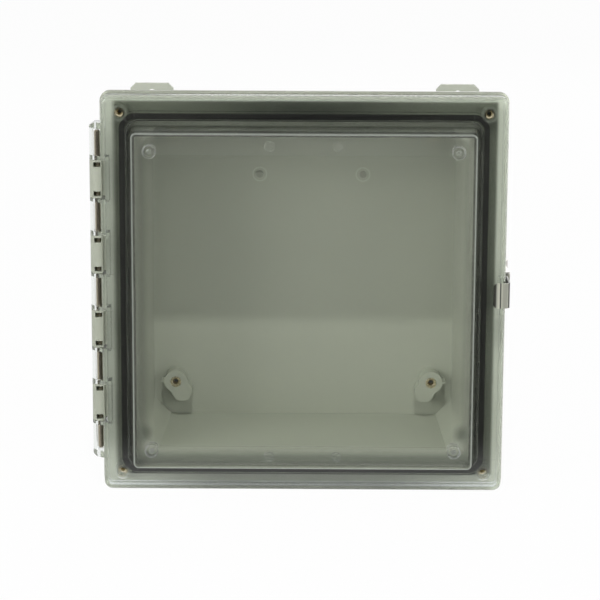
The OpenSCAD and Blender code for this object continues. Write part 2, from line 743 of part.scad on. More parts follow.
module latch_base() {
    color([0.7, 0.7, 0.7]) stand() translate([0, latch_rise, 0]) difference() {
        union() {
            rail(-ear_z - sheet_t, ear_z + sheet_t)
                polygon([[apron_x, pivot_d - base_back], [base_x, pivot_d - base_back],
                         [base_x, pivot_d + base_front], [apron_x, pivot_d + base_front]]);
            for (y = [ear_z, -ear_z - sheet_t]) rail(y, y + sheet_t) {
                translate([pivot_x, pivot_d]) circle(ear_r);
                polygon([[apron_x, pivot_d - ear_half], [base_x, pivot_d - ear_half],
                         [pivot_x, pivot_d - ear_r], [pivot_x, pivot_d + ear_r],
                         [base_x, pivot_d + ear_half], [apron_x, pivot_d + ear_half]]);
            }
        }
        rod(pivot_x, pivot_d, latch_pin_r + run_fit, -2 * ear_z, 2 * ear_z);
        for (d = rivet_d)
            translate([apron_x, 0, d]) rotate([0, 90, 0])
                cylinder(r = rivet_r + seat_fit, h = 4 * sheet_t, center = true);
    }
}

module latch_rivets() {
    color([0.65, 0.65, 0.65]) stand() for (d = rivet_d)
        translate([apron_x - apron_t - rivet_head_h, latch_rise, d]) rotate([0, 90, 0])
            rotate_extrude() polygon([[0, 0], [rivet_head_r, 0], [rivet_head_r, rivet_head_h],
                                      [rivet_r, rivet_head_h],
                                      [rivet_r, rivet_head_h + apron_t + sheet_t],
                                      [rivet_head_r, rivet_head_h + apron_t + sheet_t],
                                      [rivet_r, 2 * rivet_head_h + apron_t + sheet_t],
                                      [0, 2 * rivet_head_h + apron_t + sheet_t]]);
}

module latch_pivot_pin() {
    head_z = ear_z + sheet_t + run_fit;
    color([0.72, 0.72, 0.72]) stand() translate([0, latch_rise, 0]) {
        rod(pivot_x, pivot_d, latch_pin_r, -head_z, head_z);
        rod(pivot_x, pivot_d, ear_r - ear_gap, head_z, head_z + pin_head_h);
        rod(pivot_x, pivot_d, ear_r - ear_gap, -head_z - pin_head_h, -head_z);
    }
}

module latch_lever() {
    web_x = crank_x + ear_gap;
    out_x = web_x + sheet_t;
    web_d = crank_d - eye_r - 2 * ear_gap;
    tail_d = pivot_d - lever_len;
    tab_d = tail_d - tab_reach;
    tab_x = sheet_t + 1.8;
    color([0.75, 0.75, 0.74]) stand() translate([0, latch_rise, 0]) difference() {
        union() {
            for (y = [cheek_z, -cheek_z - sheet_t]) rail(y, y + sheet_t) {
                translate([pivot_x, pivot_d]) circle(ear_r);
                translate([crank_x, crank_d]) circle(eye_r);
                polygon([[pivot_x - ear_r, pivot_d], [pivot_x - ear_r + ear_gap, pivot_d - 4 * ear_r],
                         [web_x - ear_r, tail_d + ear_r], [out_x, tail_d],
                         [out_x, web_d], [crank_x + eye_r, crank_d],
                         [crank_x + eye_r / 3, crank_d + ear_r - ear_gap],
                         [pivot_x + ear_r / 3, pivot_d + ear_r - ear_gap]]);
            }
            rail(-cheek_z - sheet_t, cheek_z + sheet_t) {
                polygon([[web_x, tail_d], [out_x, tail_d], [out_x, web_d], [web_x, web_d]]);
                polygon([[web_x, tail_d], [out_x, tail_d + sheet_t / 2], [out_x + tab_x, tab_d],
                         [web_x + tab_x, tab_d - sheet_t / 2]]);
            }
        }
        rod(pivot_x, pivot_d, latch_pin_r + run_fit, -2 * ear_z, 2 * ear_z);
        rod(crank_x, crank_d, latch_pin_r + seat_fit, -2 * ear_z, 2 * ear_z);
    }
}

// The claw's side view: a strip that bends over the cover and curls at its tip
module claw_outline() {
    out_x = claw_x;
    in_x = claw_x - sheet_t;
    lip_top = lip_d + sheet_t;
    bend = [claw_x - claw_bend_r, lip_top - claw_bend_r];
    curl = [claw_x - claw_lip + curl_r, lip_top - curl_r];
    tip = lip_top - curl_drop;
    polygon(concat([[out_x, crank_d]],
                   arc(bend, claw_bend_r, 0, 90),
                   arc(curl, curl_r, 90, 180),
                   [[curl[0] - curl_r, tip], [curl[0] - curl_r + sheet_t, tip]],
                   arc(curl, curl_r - sheet_t, 180, 90, 3),
                   arc(bend, claw_bend_r - sheet_t, 90, 0),
                   [[in_x, crank_d]]));
}

module latch_claw() {
    tip_x = claw_x - claw_lip;
    color([0.78, 0.78, 0.77]) stand() translate([0, latch_rise, 0]) difference() {
        union() {
            rail(-claw_w / 2, claw_w / 2) claw_outline();
            rod(crank_x, crank_d, eye_r, -claw_neck_w / 2, claw_neck_w / 2);
        }
        for (s = [-1, 1]) {
            translate([crank_x, s * (claw_neck_w / 2 + claw_w), crank_d + neck_len / 4])
                cube([neck_len, 2 * claw_w, 1.5 * neck_len], center = true);
            plate(front_d - keeper_h, lip_d + sheet_t + over)
                polygon([[tip_x - over, s * (claw_w / 2 - claw_corner - over)],
                         [tip_x + claw_corner + over, s * (claw_w / 2 + over)],
                         [tip_x - over, s * (claw_w / 2 + over)]]);
        }
        rod(crank_x, crank_d, latch_pin_r + run_fit, -claw_w, claw_w);
    }
}

module latch_claw_pin() {
    half = cheek_z + sheet_t + run_fit;
    color([0.72, 0.72, 0.72]) stand() translate([0, latch_rise, 0])
        rod(crank_x, crank_d, latch_pin_r, -half, half);
}

enclosure_body();
clear_cover();
gasket();
hinge_pin();
corner_insert(1);  // corner_insert_1
corner_insert(2);  // corner_insert_2
corner_insert(3);  // corner_insert_3
corner_insert(4);  // corner_insert_4
panel_insert(1);  // panel_insert_1
panel_insert(2);  // panel_insert_2
panel_insert(3);  // panel_insert_3
panel_insert(4);  // panel_insert_4
mounting_foot(1);  // mounting_foot_1
mounting_foot(2);  // mounting_foot_2
mounting_foot(3);  // mounting_foot_3
mounting_foot(4);  // mounting_foot_4
foot_screw(1);  // foot_screw_1
foot_screw(2);  // foot_screw_2
foot_screw(3);  // foot_screw_3
foot_screw(4);  // foot_screw_4
latch_base();
latch_rivets();
latch_pivot_pin();
latch_lever();
latch_claw();
latch_claw_pin();
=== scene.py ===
"""Hinged polycarbonate enclosure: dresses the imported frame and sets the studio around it."""

import math

import bpy
import numpy as np
from bpy.props import FloatProperty, FloatVectorProperty, PointerProperty
from mathutils import Matrix, Vector


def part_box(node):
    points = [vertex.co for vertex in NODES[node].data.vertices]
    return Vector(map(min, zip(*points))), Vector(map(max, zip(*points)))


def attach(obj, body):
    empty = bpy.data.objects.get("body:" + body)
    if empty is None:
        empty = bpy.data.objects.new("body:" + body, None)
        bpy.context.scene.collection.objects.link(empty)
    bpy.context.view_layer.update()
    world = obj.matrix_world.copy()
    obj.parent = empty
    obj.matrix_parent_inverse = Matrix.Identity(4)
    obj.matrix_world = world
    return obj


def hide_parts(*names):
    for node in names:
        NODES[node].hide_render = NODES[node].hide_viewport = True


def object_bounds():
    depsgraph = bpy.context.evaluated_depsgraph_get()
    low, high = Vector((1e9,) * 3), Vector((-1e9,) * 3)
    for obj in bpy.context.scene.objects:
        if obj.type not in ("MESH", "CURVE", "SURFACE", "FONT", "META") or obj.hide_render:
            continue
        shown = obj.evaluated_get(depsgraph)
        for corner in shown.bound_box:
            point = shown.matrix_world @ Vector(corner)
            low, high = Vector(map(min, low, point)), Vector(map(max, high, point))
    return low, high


bl_info = {
    "name": "Hinged Enclosure Dressing",
    "version": (1, 0, 0),
    "blender": (4, 5, 0),
    "location": "View3D > Sidebar > Enclosure",
    "description": "Finishes, small parts and studio for a wall-mounted hinged enclosure",
    "category": "Object",
}

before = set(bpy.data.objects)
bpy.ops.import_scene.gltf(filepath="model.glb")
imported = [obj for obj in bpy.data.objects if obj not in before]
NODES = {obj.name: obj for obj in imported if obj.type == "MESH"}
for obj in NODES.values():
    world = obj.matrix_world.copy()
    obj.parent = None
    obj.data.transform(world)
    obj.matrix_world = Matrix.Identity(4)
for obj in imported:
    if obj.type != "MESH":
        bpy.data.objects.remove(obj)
CAD_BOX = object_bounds()
MM = 0.001
CORNERS = (1, 2, 3, 4)

# Bands of the cover: the two places in metres between which a mask runs from 0 to 1. The first
# six count outwards from the foot of the step wall, the last runs along the larger of |x| and
# |z|, and the others along the axis they name.
COVER_BANDS = {
    "outside panel": (-0.0072, -0.0064),
    "edge starts": (-0.0076, -0.0070),
    "edge ends": (-0.0059, -0.0065),
    "groove starts": (-0.0062, -0.0058),
    "groove ends": (-0.0048, -0.0052),
    "outside step": (-0.0004, 0.0004),
    "front face y": (-0.1458, -0.1466),
    "raised y": (-0.1400, -0.1440),
    "hinge x": (-0.1508, -0.1514),
    "left lip x": (-0.1135, -0.1240),
    "right lip x": (0.1175, 0.1265),
    "top rim z": (0.1515, 0.1525),
    "upper z": (0.05, 0.13),
    "bottom rim starts z": (-0.1365, -0.1405),
    "bottom rim ends z": (-0.1530, -0.1522),
    "top middle |x|": (0.125, 0.0),
    "bottom middle |x|": (0.165, 0.05),
    "margin": (0.1105, 0.1125),
}
# The four sides of the rectangle that holds the seal channel, as an axis and a band
CHANNEL_SIDES = (("X", -0.1450, -0.1400), ("X", 0.1460, 0.1430),
                 ("Z", -0.1405, -0.1385), ("Z", 0.1495, 0.1470))
# The lower strip carries painted shade in the cover's colour; its two end spots are darker still
# Middle and half width of the lower strip of the panel along z, and its two dark end spots
LOWER_STRIP = (-0.1193, 0.0085)
LOWER_END = {"radius": 0.0105, "x": (0.0, 0.1205), "z": -0.1003}

# Middle and half distance of the small marks in the cover, along x and z
BOSS_PLACE = (0.0, 0.1141)
HOLE_PLACE = (0.0, 0.1384)
MARK_PLACE_X = (0.0, 0.0253)
MARK_PLACE_Z = (0.0, 0.1183)
# Distance from the middle of the shallow recess to the centres of its round corners
RECESS_HALF = 0.1062
# Lines of the marks, as a radius or place and the half width of the line; the recess line's is
# the radius of its corners
# The glow entries here and below place painted highlights
MARK_LINES = {
    "boss ring": (0.0048, 0.0008),
    "boss ring glow": (0.0046, 0.0010),
    "recess": (0.0040, 0.0007),
    "hole": (0.0052, 0.0014),
    "corner pad": (0.1268, 0.0006),
}
# Bands of the marks: the domes and speckles fill inwards, and a corner pad has two ends
MARK_BANDS = {
    "boss dome": (0.0024, 0.0010),
    "boss dome glow": (0.0022, 0.0016),
    "speckle": (0.0040, 0.0034),
    "corner pad starts": (0.1345, 0.1350),
    "corner pad ends": (0.1475, 0.1465),
}

# Bands of the box's painted light and shade, as for the cover. The front edge runs along |x|, |z|
# or x, and the pip's top outwards from its middle.
BODY_BANDS = {
    "front edge": (0.1425, 0.1455),
    "near front y": (-0.085, -0.092),
    "clear of hinge x": (-0.1512, -0.1506),
    "top skin z": (0.1526, 0.1532),
    "before wall y": (-0.0120, -0.0105),
    "inside wall y": (-0.0045, -0.0065),
    "pip top": (0.0030, 0.0024),
}
# The painted highlight ring round a pip as a radius and a half width, and the places of the two
# pips
PIP_RING = (0.0054, 0.0008)
PIP_PLACE_X = (0.0056, 0.0410)
PIP_PLACE_Z = 0.0755

# Places along the claw's lip, from its curled tip at 0 to its bend at 1, and the painted reflection
# each carries as a share of its colour; and the bands that bound its inner skin, in painted shade
CLAW_PAINTED_REFLECTION = ((0.0, 0.06), (0.13, 0.10), (0.20, 0.75), (0.34, 1.0), (0.39, 0.10), (0.43, 0.10),
              (0.48, 1.0), (0.55, 0.66), (0.88, 0.60), (1.0, 0.45))
CLAW_INSIDE_Y = (-0.1228, -0.1222)
CLAW_INSIDE_X = (0.1561, 0.1557)

# Grain of each metal per metre along x, y and z. Where one is far smaller, lines run along it.
DRAWN = (2500, 2500, 120)
ROLLED = (2600, 2600, 60)
PLATED = (1500, 1500, 1500)
TURNED = (900, 900, 900)

# Radius of the bore in each kind of bush, what is added to it for the thread's root, and the
# thread's pitch
BUSH_BORES = (("corner_insert", 0.0021), ("panel_insert", 0.0025))
ROOT_GAP = 0.00002
THREAD_PITCH = 0.0008

# Place of the small lamp, and name, place and side of each broad one
KEY_PLACE = (0.0, -1.28, 2.02)
BROAD_LAMPS = (("Left", (-2.0, -1.7, 0.8), 1.2), ("Right", (2.0, -1.7, 0.8), 1.2),
               ("Front", (0.1, -2.6, 0.8), 1.6), ("Back", (0.5, 2.3, 1.3), 1.6))
# How white the floor is seen, and the places along y between which floor and world turn white
FLOOR_WHITE = 0.97
FLOOR_TURN = (-0.30, -0.16)
WORLD_TURN = (-0.5, 0.1)


# ---------- settings ----------


class PlasticSettings(bpy.types.PropertyGroup):
    """Colours of the moulded grey plastic."""

    body_colour: FloatVectorProperty(
        name="Body Colour", description="Colour of the moulded box",
        default=(0.348, 0.368, 0.299), size=3, min=0, max=1, subtype="COLOR")
    foot_colour: FloatVectorProperty(
        name="Foot Colour", description="Colour of the mounting feet",
        default=(0.465, 0.488, 0.415), size=3, min=0, max=1, subtype="COLOR")
    grain_size: FloatProperty(
        name="Grain Size", description="Size of the fine moulded grain",
        default=0.0009, min=0.0001, max=0.01, unit="LENGTH")
    grain_depth: FloatProperty(
        name="Grain Depth", description="Height of the fine moulded grain",
        default=0.00003, min=0, max=0.001, unit="LENGTH")


class CoverSettings(bpy.types.PropertyGroup):
    """Look of the clear cover and its seal."""

    tint: FloatVectorProperty(
        name="Tint", description="Colour of the clear plastic",
        default=(0.975, 0.985, 0.975), size=3, min=0, max=1, subtype="COLOR")
    ior: FloatProperty(
        name="Refraction", description="Index of refraction of the clear plastic",
        default=1.58, min=1.3, max=1.8)
    shade: FloatVectorProperty(
        name="Lamp Shade", description="Share of lamp light that gets through one surface",
        default=(0.985, 0.99, 0.975), size=3, min=0, max=1, subtype="COLOR")
    rim_shade: FloatVectorProperty(
        name="Rim Shade", description="Share of lamp light that gets through the rim",
        default=(1.0, 1.0, 1.0), size=3, min=0, max=1, subtype="COLOR")
    # Painted shade over the panel's left and right margins
    lip_painted_shade: FloatVectorProperty(
        name="Lip Painted Shade", description="Colour of the left and right margins of the panel",
        default=(0.57, 0.58, 0.57), size=3, min=0, max=1, subtype="COLOR")
    # Painted shade along the panel's lower strip, with two darker spots at its ends
    lower_painted_shade: FloatVectorProperty(
        name="Lower Painted Shade", description="Colour of the lower strip of the panel",
        default=(0.47, 0.49, 0.48), size=3, min=0, max=1, subtype="COLOR")
    # Painted shade on the step wall above and below the panel
    step_painted_shade: FloatVectorProperty(
        name="Step Painted Shade", description="Colour of the step wall above and below the panel",
        default=(0.47, 0.48, 0.465), size=3, min=0, max=1, subtype="COLOR")
    # Painted shade, darker still, on the step wall's left and right sides
    side_painted_shade: FloatVectorProperty(
        name="Side Painted Shade", description="Colour of the step wall left and right of the panel",
        default=(0.42, 0.43, 0.42), size=3, min=0, max=1, subtype="COLOR")
    # Painted shade over the seal channel and its gasket
    channel_painted_shade: FloatVectorProperty(
        name="Channel Painted Shade", description="Colour of the thick plastic over the gasket",
        default=(0.27, 0.29, 0.26), size=3, min=0, max=1, subtype="COLOR")
    # Painted shade, darkest, in the middle of the top channel
    deep_painted_shade: FloatVectorProperty(
        name="Deep Painted Shade", description="Colour of the middle of the top channel",
        default=(0.11, 0.12, 0.11), size=3, min=0, max=1, subtype="COLOR")
    # Painted shade in the middle of the bottom rim
    bottom_painted_shade: FloatVectorProperty(
        name="Bottom Painted Shade", description="Colour of the middle of the bottom rim",
        default=(0.50, 0.52, 0.51), size=3, min=0, max=1, subtype="COLOR")
    # Painted shade: a dark line just outside the panel's edge
    groove_painted_shade: FloatVectorProperty(
        name="Groove Painted Shade", description="Colour of the line outside the panel's edge",
        default=(0.16, 0.17, 0.16), size=3, min=0, max=1, subtype="COLOR")
    hinge_tint: FloatVectorProperty(
        name="Hinge Tint", description="Colour of the clear knuckles",
        default=(0.88, 0.905, 0.885), size=3, min=0, max=1, subtype="COLOR")
    # Painted shade on the top rim, which faces the lamps above
    top_painted_shade: FloatVectorProperty(
        name="Top Painted Shade", description="Colour of the top rim",
        default=(0.75, 0.77, 0.765), size=3, min=0, max=1, subtype="COLOR")
    rim_tint: FloatVectorProperty(
        name="Rim Tint", description="Colour of the outer rim and the skirt",
        default=(0.96, 0.99, 0.985), size=3, min=0, max=1, subtype="COLOR")
    # Painted highlight: the panel's edge glows, though no lamp is there
    edge_painted_highlight: FloatVectorProperty(
        name="Edge Painted Highlight", description="Light that the edge of the panel gathers",
        default=(0.20, 0.215, 0.195), size=3, min=0, max=1, subtype="COLOR")
    # Painted highlight: the edges of the small marks glow, though no lamp is there
    mark_painted_highlight: FloatVectorProperty(
        name="Mark Painted Highlight", description="Light that the edges of the small marks gather",
        default=(0.026, 0.028, 0.025), size=3, min=0, max=1, subtype="COLOR")
    margin_frost: FloatProperty(
        name="Margin Frost", description="Roughness of the panel outside its shallow recess",
        default=0.22, min=0, max=1)
    step_frost: FloatProperty(
        name="Step Frost", description="Roughness of the step wall",
        default=0.10, min=0, max=1)
    channel_frost: FloatProperty(
        name="Channel Frost", description="Roughness over the seal channel",
        default=0.06, min=0, max=1)
    rim_frost: FloatProperty(
        name="Rim Frost", description="Roughness of the outer rim and the skirt",
        default=0.10, min=0, max=1)
    gasket_colour: FloatVectorProperty(
        name="Gasket Colour", description="Colour of the poured gasket",
        default=(0.036, 0.036, 0.032), size=3, min=0, max=1, subtype="COLOR")


class MetalSettings(bpy.types.PropertyGroup):
    """Colours of the metal pieces."""

    stainless: FloatVectorProperty(
        name="Stainless", description="Colour of the latch, its pins and its rivets",
        default=(0.60, 0.585, 0.55), size=3, min=0, max=1, subtype="COLOR")
    claw: FloatVectorProperty(
        name="Claw", description="Colour of the latch's curled claw",
        default=(0.78, 0.79, 0.67), size=3, min=0, max=1, subtype="COLOR")
    rod: FloatVectorProperty(
        name="Hinge Rod", description="Colour of the hinge pin",
        default=(0.36, 0.32, 0.25), size=3, min=0, max=1, subtype="COLOR")
    brass: FloatVectorProperty(
        name="Brass", description="Colour of the threaded bushes",
        default=(0.84, 0.74, 0.50), size=3, min=0, max=1, subtype="COLOR")
    zinc: FloatVectorProperty(
        name="Zinc", description="Colour of the plated screws",
        default=(0.60, 0.61, 0.62), size=3, min=0, max=1, subtype="COLOR")


class StudioSettings(bpy.types.PropertyGroup):
    """Lamps, floor and camera."""

    key_power: FloatProperty(
        name="Key Power", description="Power of the small lamp above the front",
        default=21.0, min=0, subtype="POWER")
    key_size: FloatProperty(
        name="Key Size", description="Side of the small lamp",
        default=0.06, min=0.01, unit="LENGTH")
    left_power: FloatProperty(
        name="Left Power", description="Power of the broad lamp on the hinge side",
        default=32.0, min=0, subtype="POWER")
    right_power: FloatProperty(
        name="Right Power", description="Power of the broad lamp on the latch side",
        default=14.0, min=0, subtype="POWER")
    front_power: FloatProperty(
        name="Front Power", description="Power of the broad lamp in front",
        default=7.5, min=0, subtype="POWER")
    back_power: FloatProperty(
        name="Back Power", description="Power of the broad lamp behind the box",
        default=14.0, min=0, subtype="POWER")
    world_strength: FloatProperty(
        name="World Strength", description="Strength of the even light from all round",
        default=0.32, min=0)
    front_glow: FloatProperty(
        name="Front Glow", description="How bright the studio in front of the box shows in it",
        default=0.12, min=0, max=1)
    lens: FloatProperty(
        name="Lens", description="Focal length of the camera in millimetres",
        default=144.6, min=10)


# ---------- shader tools ----------


def node_tree(name):
    """A new material's empty node tree and its output node."""
    mat = bpy.data.materials.new(name)
    mat.use_nodes = True
    tree = mat.node_tree
    tree.nodes.clear()
    return mat, tree, tree.nodes.new("ShaderNodeOutputMaterial")


def group_sockets(group, ins, outs):
    """Adds float, colour or vector sockets to a shader group from (name, kind, default) rows."""
    kinds = {"F": "NodeSocketFloat", "C": "NodeSocketColor", "V": "NodeSocketVector"}
    for side, rows in (("INPUT", ins), ("OUTPUT", outs)):
        for name, kind, *default in rows:
            made = group.interface.new_socket(name=name, in_out=side, socket_type=kinds[kind])
            if default:
                made.default_value = default[0]
    return group.nodes.new("NodeGroupInput"), group.nodes.new("NodeGroupOutput")


def math_node(tree, operation, a, b=None):
    """A Math node on sockets or numbers, and its output socket."""
    n = tree.nodes.new("ShaderNodeMath")
    n.operation = operation
    for i, value in enumerate((a, b)):
        if value is None:
            continue
        if isinstance(value, bpy.types.NodeSocket):
            tree.links.new(value, n.inputs[i])
        else:
            n.inputs[i].default_value = value
    return n.outputs[0]


def product(tree, first, *others):
    """Several sockets or numbers multiplied together."""
    for value in others:
        first = math_node(tree, "MULTIPLY", first, value)
    return first


def scaled_colour(tree, colour, factor):
    """A colour socket made lighter or darker by a number socket."""
    node = tree.nodes.new("ShaderNodeVectorMath")
    node.operation = "SCALE"
    tree.links.new(colour, node.inputs[0])
    tree.links.new(factor, node.inputs["Scale"])
    return node.outputs[0]


def object_place(tree):
    """The Object coordinates, whole and as X, Y and Z."""
    coord = tree.nodes.new("ShaderNodeTexCoord")
    split = tree.nodes.new("ShaderNodeSeparateXYZ")
    tree.links.new(coord.outputs["Object"], split.inputs[0])
    return coord.outputs["Object"], split.outputs


def grain_group():
    """Moulded grain: two sizes of noise for height, a slow cloud for colour and for roughness."""
    if "Moulded Grain" in bpy.data.node_groups:
        return bpy.data.node_groups["Moulded Grain"]
    g = bpy.data.node_groups.new("Moulded Grain", "ShaderNodeTree")
    gi, go = group_sockets(
        g,
        [("Colour", "C", (0.5, 0.5, 0.5, 1)), ("Size", "F", 0.001), ("Cloud", "F", 0.05),
         ("Roughness", "F", 0.4), ("Roughness Change", "F", 0.08)],
        [("Colour", "C"), ("Height", "F"), ("Roughness", "F")])
    link = g.links.new
    coord = g.nodes.new("ShaderNodeTexCoord")
    scale = math_node(g, "DIVIDE", 1.0, gi.outputs["Size"])
    fine = g.nodes.new("ShaderNodeTexNoise")
    fine.inputs["Detail"].default_value = 3
    link(coord.outputs["Object"], fine.inputs["Vector"])
    link(scale, fine.inputs["Scale"])
    cloud = g.nodes.new("ShaderNodeTexNoise")
    cloud.inputs["Scale"].default_value = 11
    cloud.inputs["Detail"].default_value = 4
    link(coord.outputs["Object"], cloud.inputs["Vector"])
    centred = math_node(g, "SUBTRACT", cloud.outputs["Fac"], 0.5)
    share = math_node(g, "MULTIPLY", centred, gi.outputs["Cloud"])
    factor = math_node(g, "ADD", share, 1.0)
    link(scaled_colour(g, gi.outputs["Colour"], factor), go.inputs["Colour"])
    link(fine.outputs["Fac"], go.inputs["Height"])
    rough = math_node(g, "MULTIPLY", centred, gi.outputs["Roughness Change"])
    link(math_node(g, "ADD", rough, gi.outputs["Roughness"]), go.inputs["Roughness"])
    return g


def moulded_plastic(name, colour, size, depth, rough=0.42, cloud=0.06):
    """Moulded plastic: even colour with a slow cloud, fine grain in height and roughness."""
    mat, tree, out = node_tree(name)
    grain = tree.nodes.new("ShaderNodeGroup")
    grain.node_tree = grain_group()
    grain.inputs["Colour"].default_value = (*colour, 1)
    grain.inputs["Size"].default_value = size
    grain.inputs["Cloud"].default_value = cloud
    grain.inputs["Roughness"].default_value = rough
    shader = tree.nodes.new("ShaderNodeBsdfPrincipled")
    shader.inputs["IOR"].default_value = 1.5
    bump = tree.nodes.new("ShaderNodeBump")
    bump.inputs["Distance"].default_value = depth
    bump.inputs["Strength"].default_value = 1
    link = tree.links.new
    link(grain.outputs["Colour"], shader.inputs["Base Color"])
    link(grain.outputs["Roughness"], shader.inputs["Roughness"])
    link(grain.outputs["Height"], bump.inputs["Height"])
    link(bump.outputs["Normal"], shader.inputs["Normal"])
    link(shader.outputs[0], out.inputs["Surface"])
    return mat


def brushed_group():
    """Brushed metal: noise stretched along one axis for height, colour and roughness."""
    if "Brushed Metal" in bpy.data.node_groups:
        return bpy.data.node_groups["Brushed Metal"]
    g = bpy.data.node_groups.new("Brushed Metal", "ShaderNodeTree")
    gi, go = group_sockets(
        g,
        [("Colour", "C", (0.6, 0.6, 0.6, 1)), ("Stretch", "V", (1, 1, 1)), ("Roughness", "F", 0.3)],
        [("Colour", "C"), ("Height", "F"), ("Roughness", "F")])
    link = g.links.new
    coord = g.nodes.new("ShaderNodeTexCoord")
    stretched = g.nodes.new("ShaderNodeVectorMath")
    stretched.operation = "MULTIPLY"
    link(coord.outputs["Object"], stretched.inputs[0])
    link(gi.outputs["Stretch"], stretched.inputs[1])
    noise = g.nodes.new("ShaderNodeTexNoise")
    noise.inputs["Scale"].default_value = 1
    noise.inputs["Detail"].default_value = 4
    link(stretched.outputs[0], noise.inputs["Vector"])
    centred = math_node(g, "SUBTRACT", noise.outputs["Fac"], 0.5)
    factor = math_node(g, "ADD", math_node(g, "MULTIPLY", centred, 0.25), 1.0)
    link(scaled_colour(g, gi.outputs["Colour"], factor), go.inputs["Colour"])
    link(noise.outputs["Fac"], go.inputs["Height"])
    rough = math_node(g, "MULTIPLY", centred, 0.25)
    link(math_node(g, "ADD", rough, gi.outputs["Roughness"]), go.inputs["Roughness"])
    return g


def brushed_metal(name, colour, stretch, rough, depth=0.00001):
    """Metal with fine drawn lines along the axis whose stretch is smallest."""
    mat, tree, out = node_tree(name)
    lines = tree.nodes.new("ShaderNodeGroup")
    lines.node_tree = brushed_group()
    lines.inputs["Colour"].default_value = (*colour, 1)
    lines.inputs["Stretch"].default_value = stretch
    lines.inputs["Roughness"].default_value = rough
    shader = tree.nodes.new("ShaderNodeBsdfPrincipled")
    shader.inputs["Metallic"].default_value = 1
    bump = tree.nodes.new("ShaderNodeBump")
    bump.inputs["Distance"].default_value = depth
    link = tree.links.new
    link(lines.outputs["Colour"], shader.inputs["Base Color"])
    link(lines.outputs["Roughness"], shader.inputs["Roughness"])
    link(lines.outputs["Height"], bump.inputs["Height"])
    link(bump.outputs["Normal"], shader.inputs["Normal"])
    link(shader.outputs[0], out.inputs["Surface"])
    return mat


def claw_painted_light_group():
    """Painted reflection in bands along the claw's lip, from its curled tip to its bend. Its inner
    skin has painted shade.
    """
    if "Claw Shade" in bpy.data.node_groups:
        return bpy.data.node_groups["Claw Shade"]
    g = bpy.data.node_groups.new("Claw Shade", "ShaderNodeTree")
    gi, go = group_sockets(g, [("Colour", "C", (0.6, 0.6, 0.6, 1)), ("Tip", "F", 0.1435),
                               ("Width", "F", 0.0128)], [("Colour", "C")])
    painted_inner_shade = 0.04
    _, at = object_place(g)
    across = math_node(g, "DIVIDE", math_node(g, "SUBTRACT", at["X"], gi.outputs["Tip"]),
                       gi.outputs["Width"])
    bands = g.nodes.new("ShaderNodeValToRGB")
    points = bands.color_ramp.elements
    while len(points) < len(CLAW_PAINTED_REFLECTION):
        points.new(0.5)
    for point, (place, level) in zip(points, CLAW_PAINTED_REFLECTION):
        point.position = place
        point.color = (level, level, level, 1)
    g.links.new(across, bands.inputs[0])
    inner = product(g, ramp(g, at["Y"], *CLAW_INSIDE_Y), ramp(g, at["X"], *CLAW_INSIDE_X))
    light = blend_values(g, inner, bands.outputs["Color"], painted_inner_shade)
    g.links.new(scaled_colour(g, gi.outputs["Colour"], light), go.inputs["Colour"])
    return g


def ramp(tree, value, start, end):
    """0 where a value is below start, 1 above end, and a smooth step between; start may be the
    larger, which turns the ramp round."""
    node = tree.nodes.new("ShaderNodeMapRange")
    node.interpolation_type = "SMOOTHSTEP"
    tree.links.new(value, node.inputs["Value"])
    node.inputs["From Min"].default_value = start
    node.inputs["From Max"].default_value = end
    return node.outputs["Result"]


def blend_values(tree, mask, low, high):
    """low where the mask is 0 and high where it is 1, for numbers or sockets."""
    node = tree.nodes.new("ShaderNodeMapRange")
    tree.links.new(mask, node.inputs["Value"])
    for name, value in (("To Min", low), ("To Max", high)):
        if isinstance(value, bpy.types.NodeSocket):
            tree.links.new(value, node.inputs[name])
        else:
            node.inputs[name].default_value = value
    return node.outputs["Result"]


def near(tree, at, x, z):
    """Distance across the front from a point, or from its mirror images where x or z is given as
    a pair of the middle and the half distance between them."""
    squares = []
    for axis, place in (("X", x), ("Z", z)):
        middle, half = place if isinstance(place, tuple) else (place, None)
        gap = math_node(tree, "SUBTRACT", at[axis], middle)
        if half is not None:
            gap = math_node(tree, "SUBTRACT", math_node(tree, "ABSOLUTE", gap), half)
        squares.append(math_node(tree, "MULTIPLY", gap, gap))
    return math_node(tree, "SQRT", math_node(tree, "ADD", *squares))


def ridge(tree, distance, radius, half_width):
    """1 where a distance is radius, falling smoothly to 0 half a width to either side."""
    gap = math_node(tree, "ABSOLUTE", math_node(tree, "SUBTRACT", distance, radius))
    return ramp(tree, gap, half_width, 0.0)


def past_corner(tree, sizes, corner):
    """Length of the positive part of (|x|, |z|) less a corner, which is the distance outside a
    square that reaches to that corner."""
    past = [math_node(tree, "MAXIMUM", math_node(tree, "SUBTRACT", size, corner), 0.0)
            for size in sizes]
    squares = [math_node(tree, "MULTIPLY", side, side) for side in past]
    return math_node(tree, "SQRT", math_node(tree, "ADD", *squares))


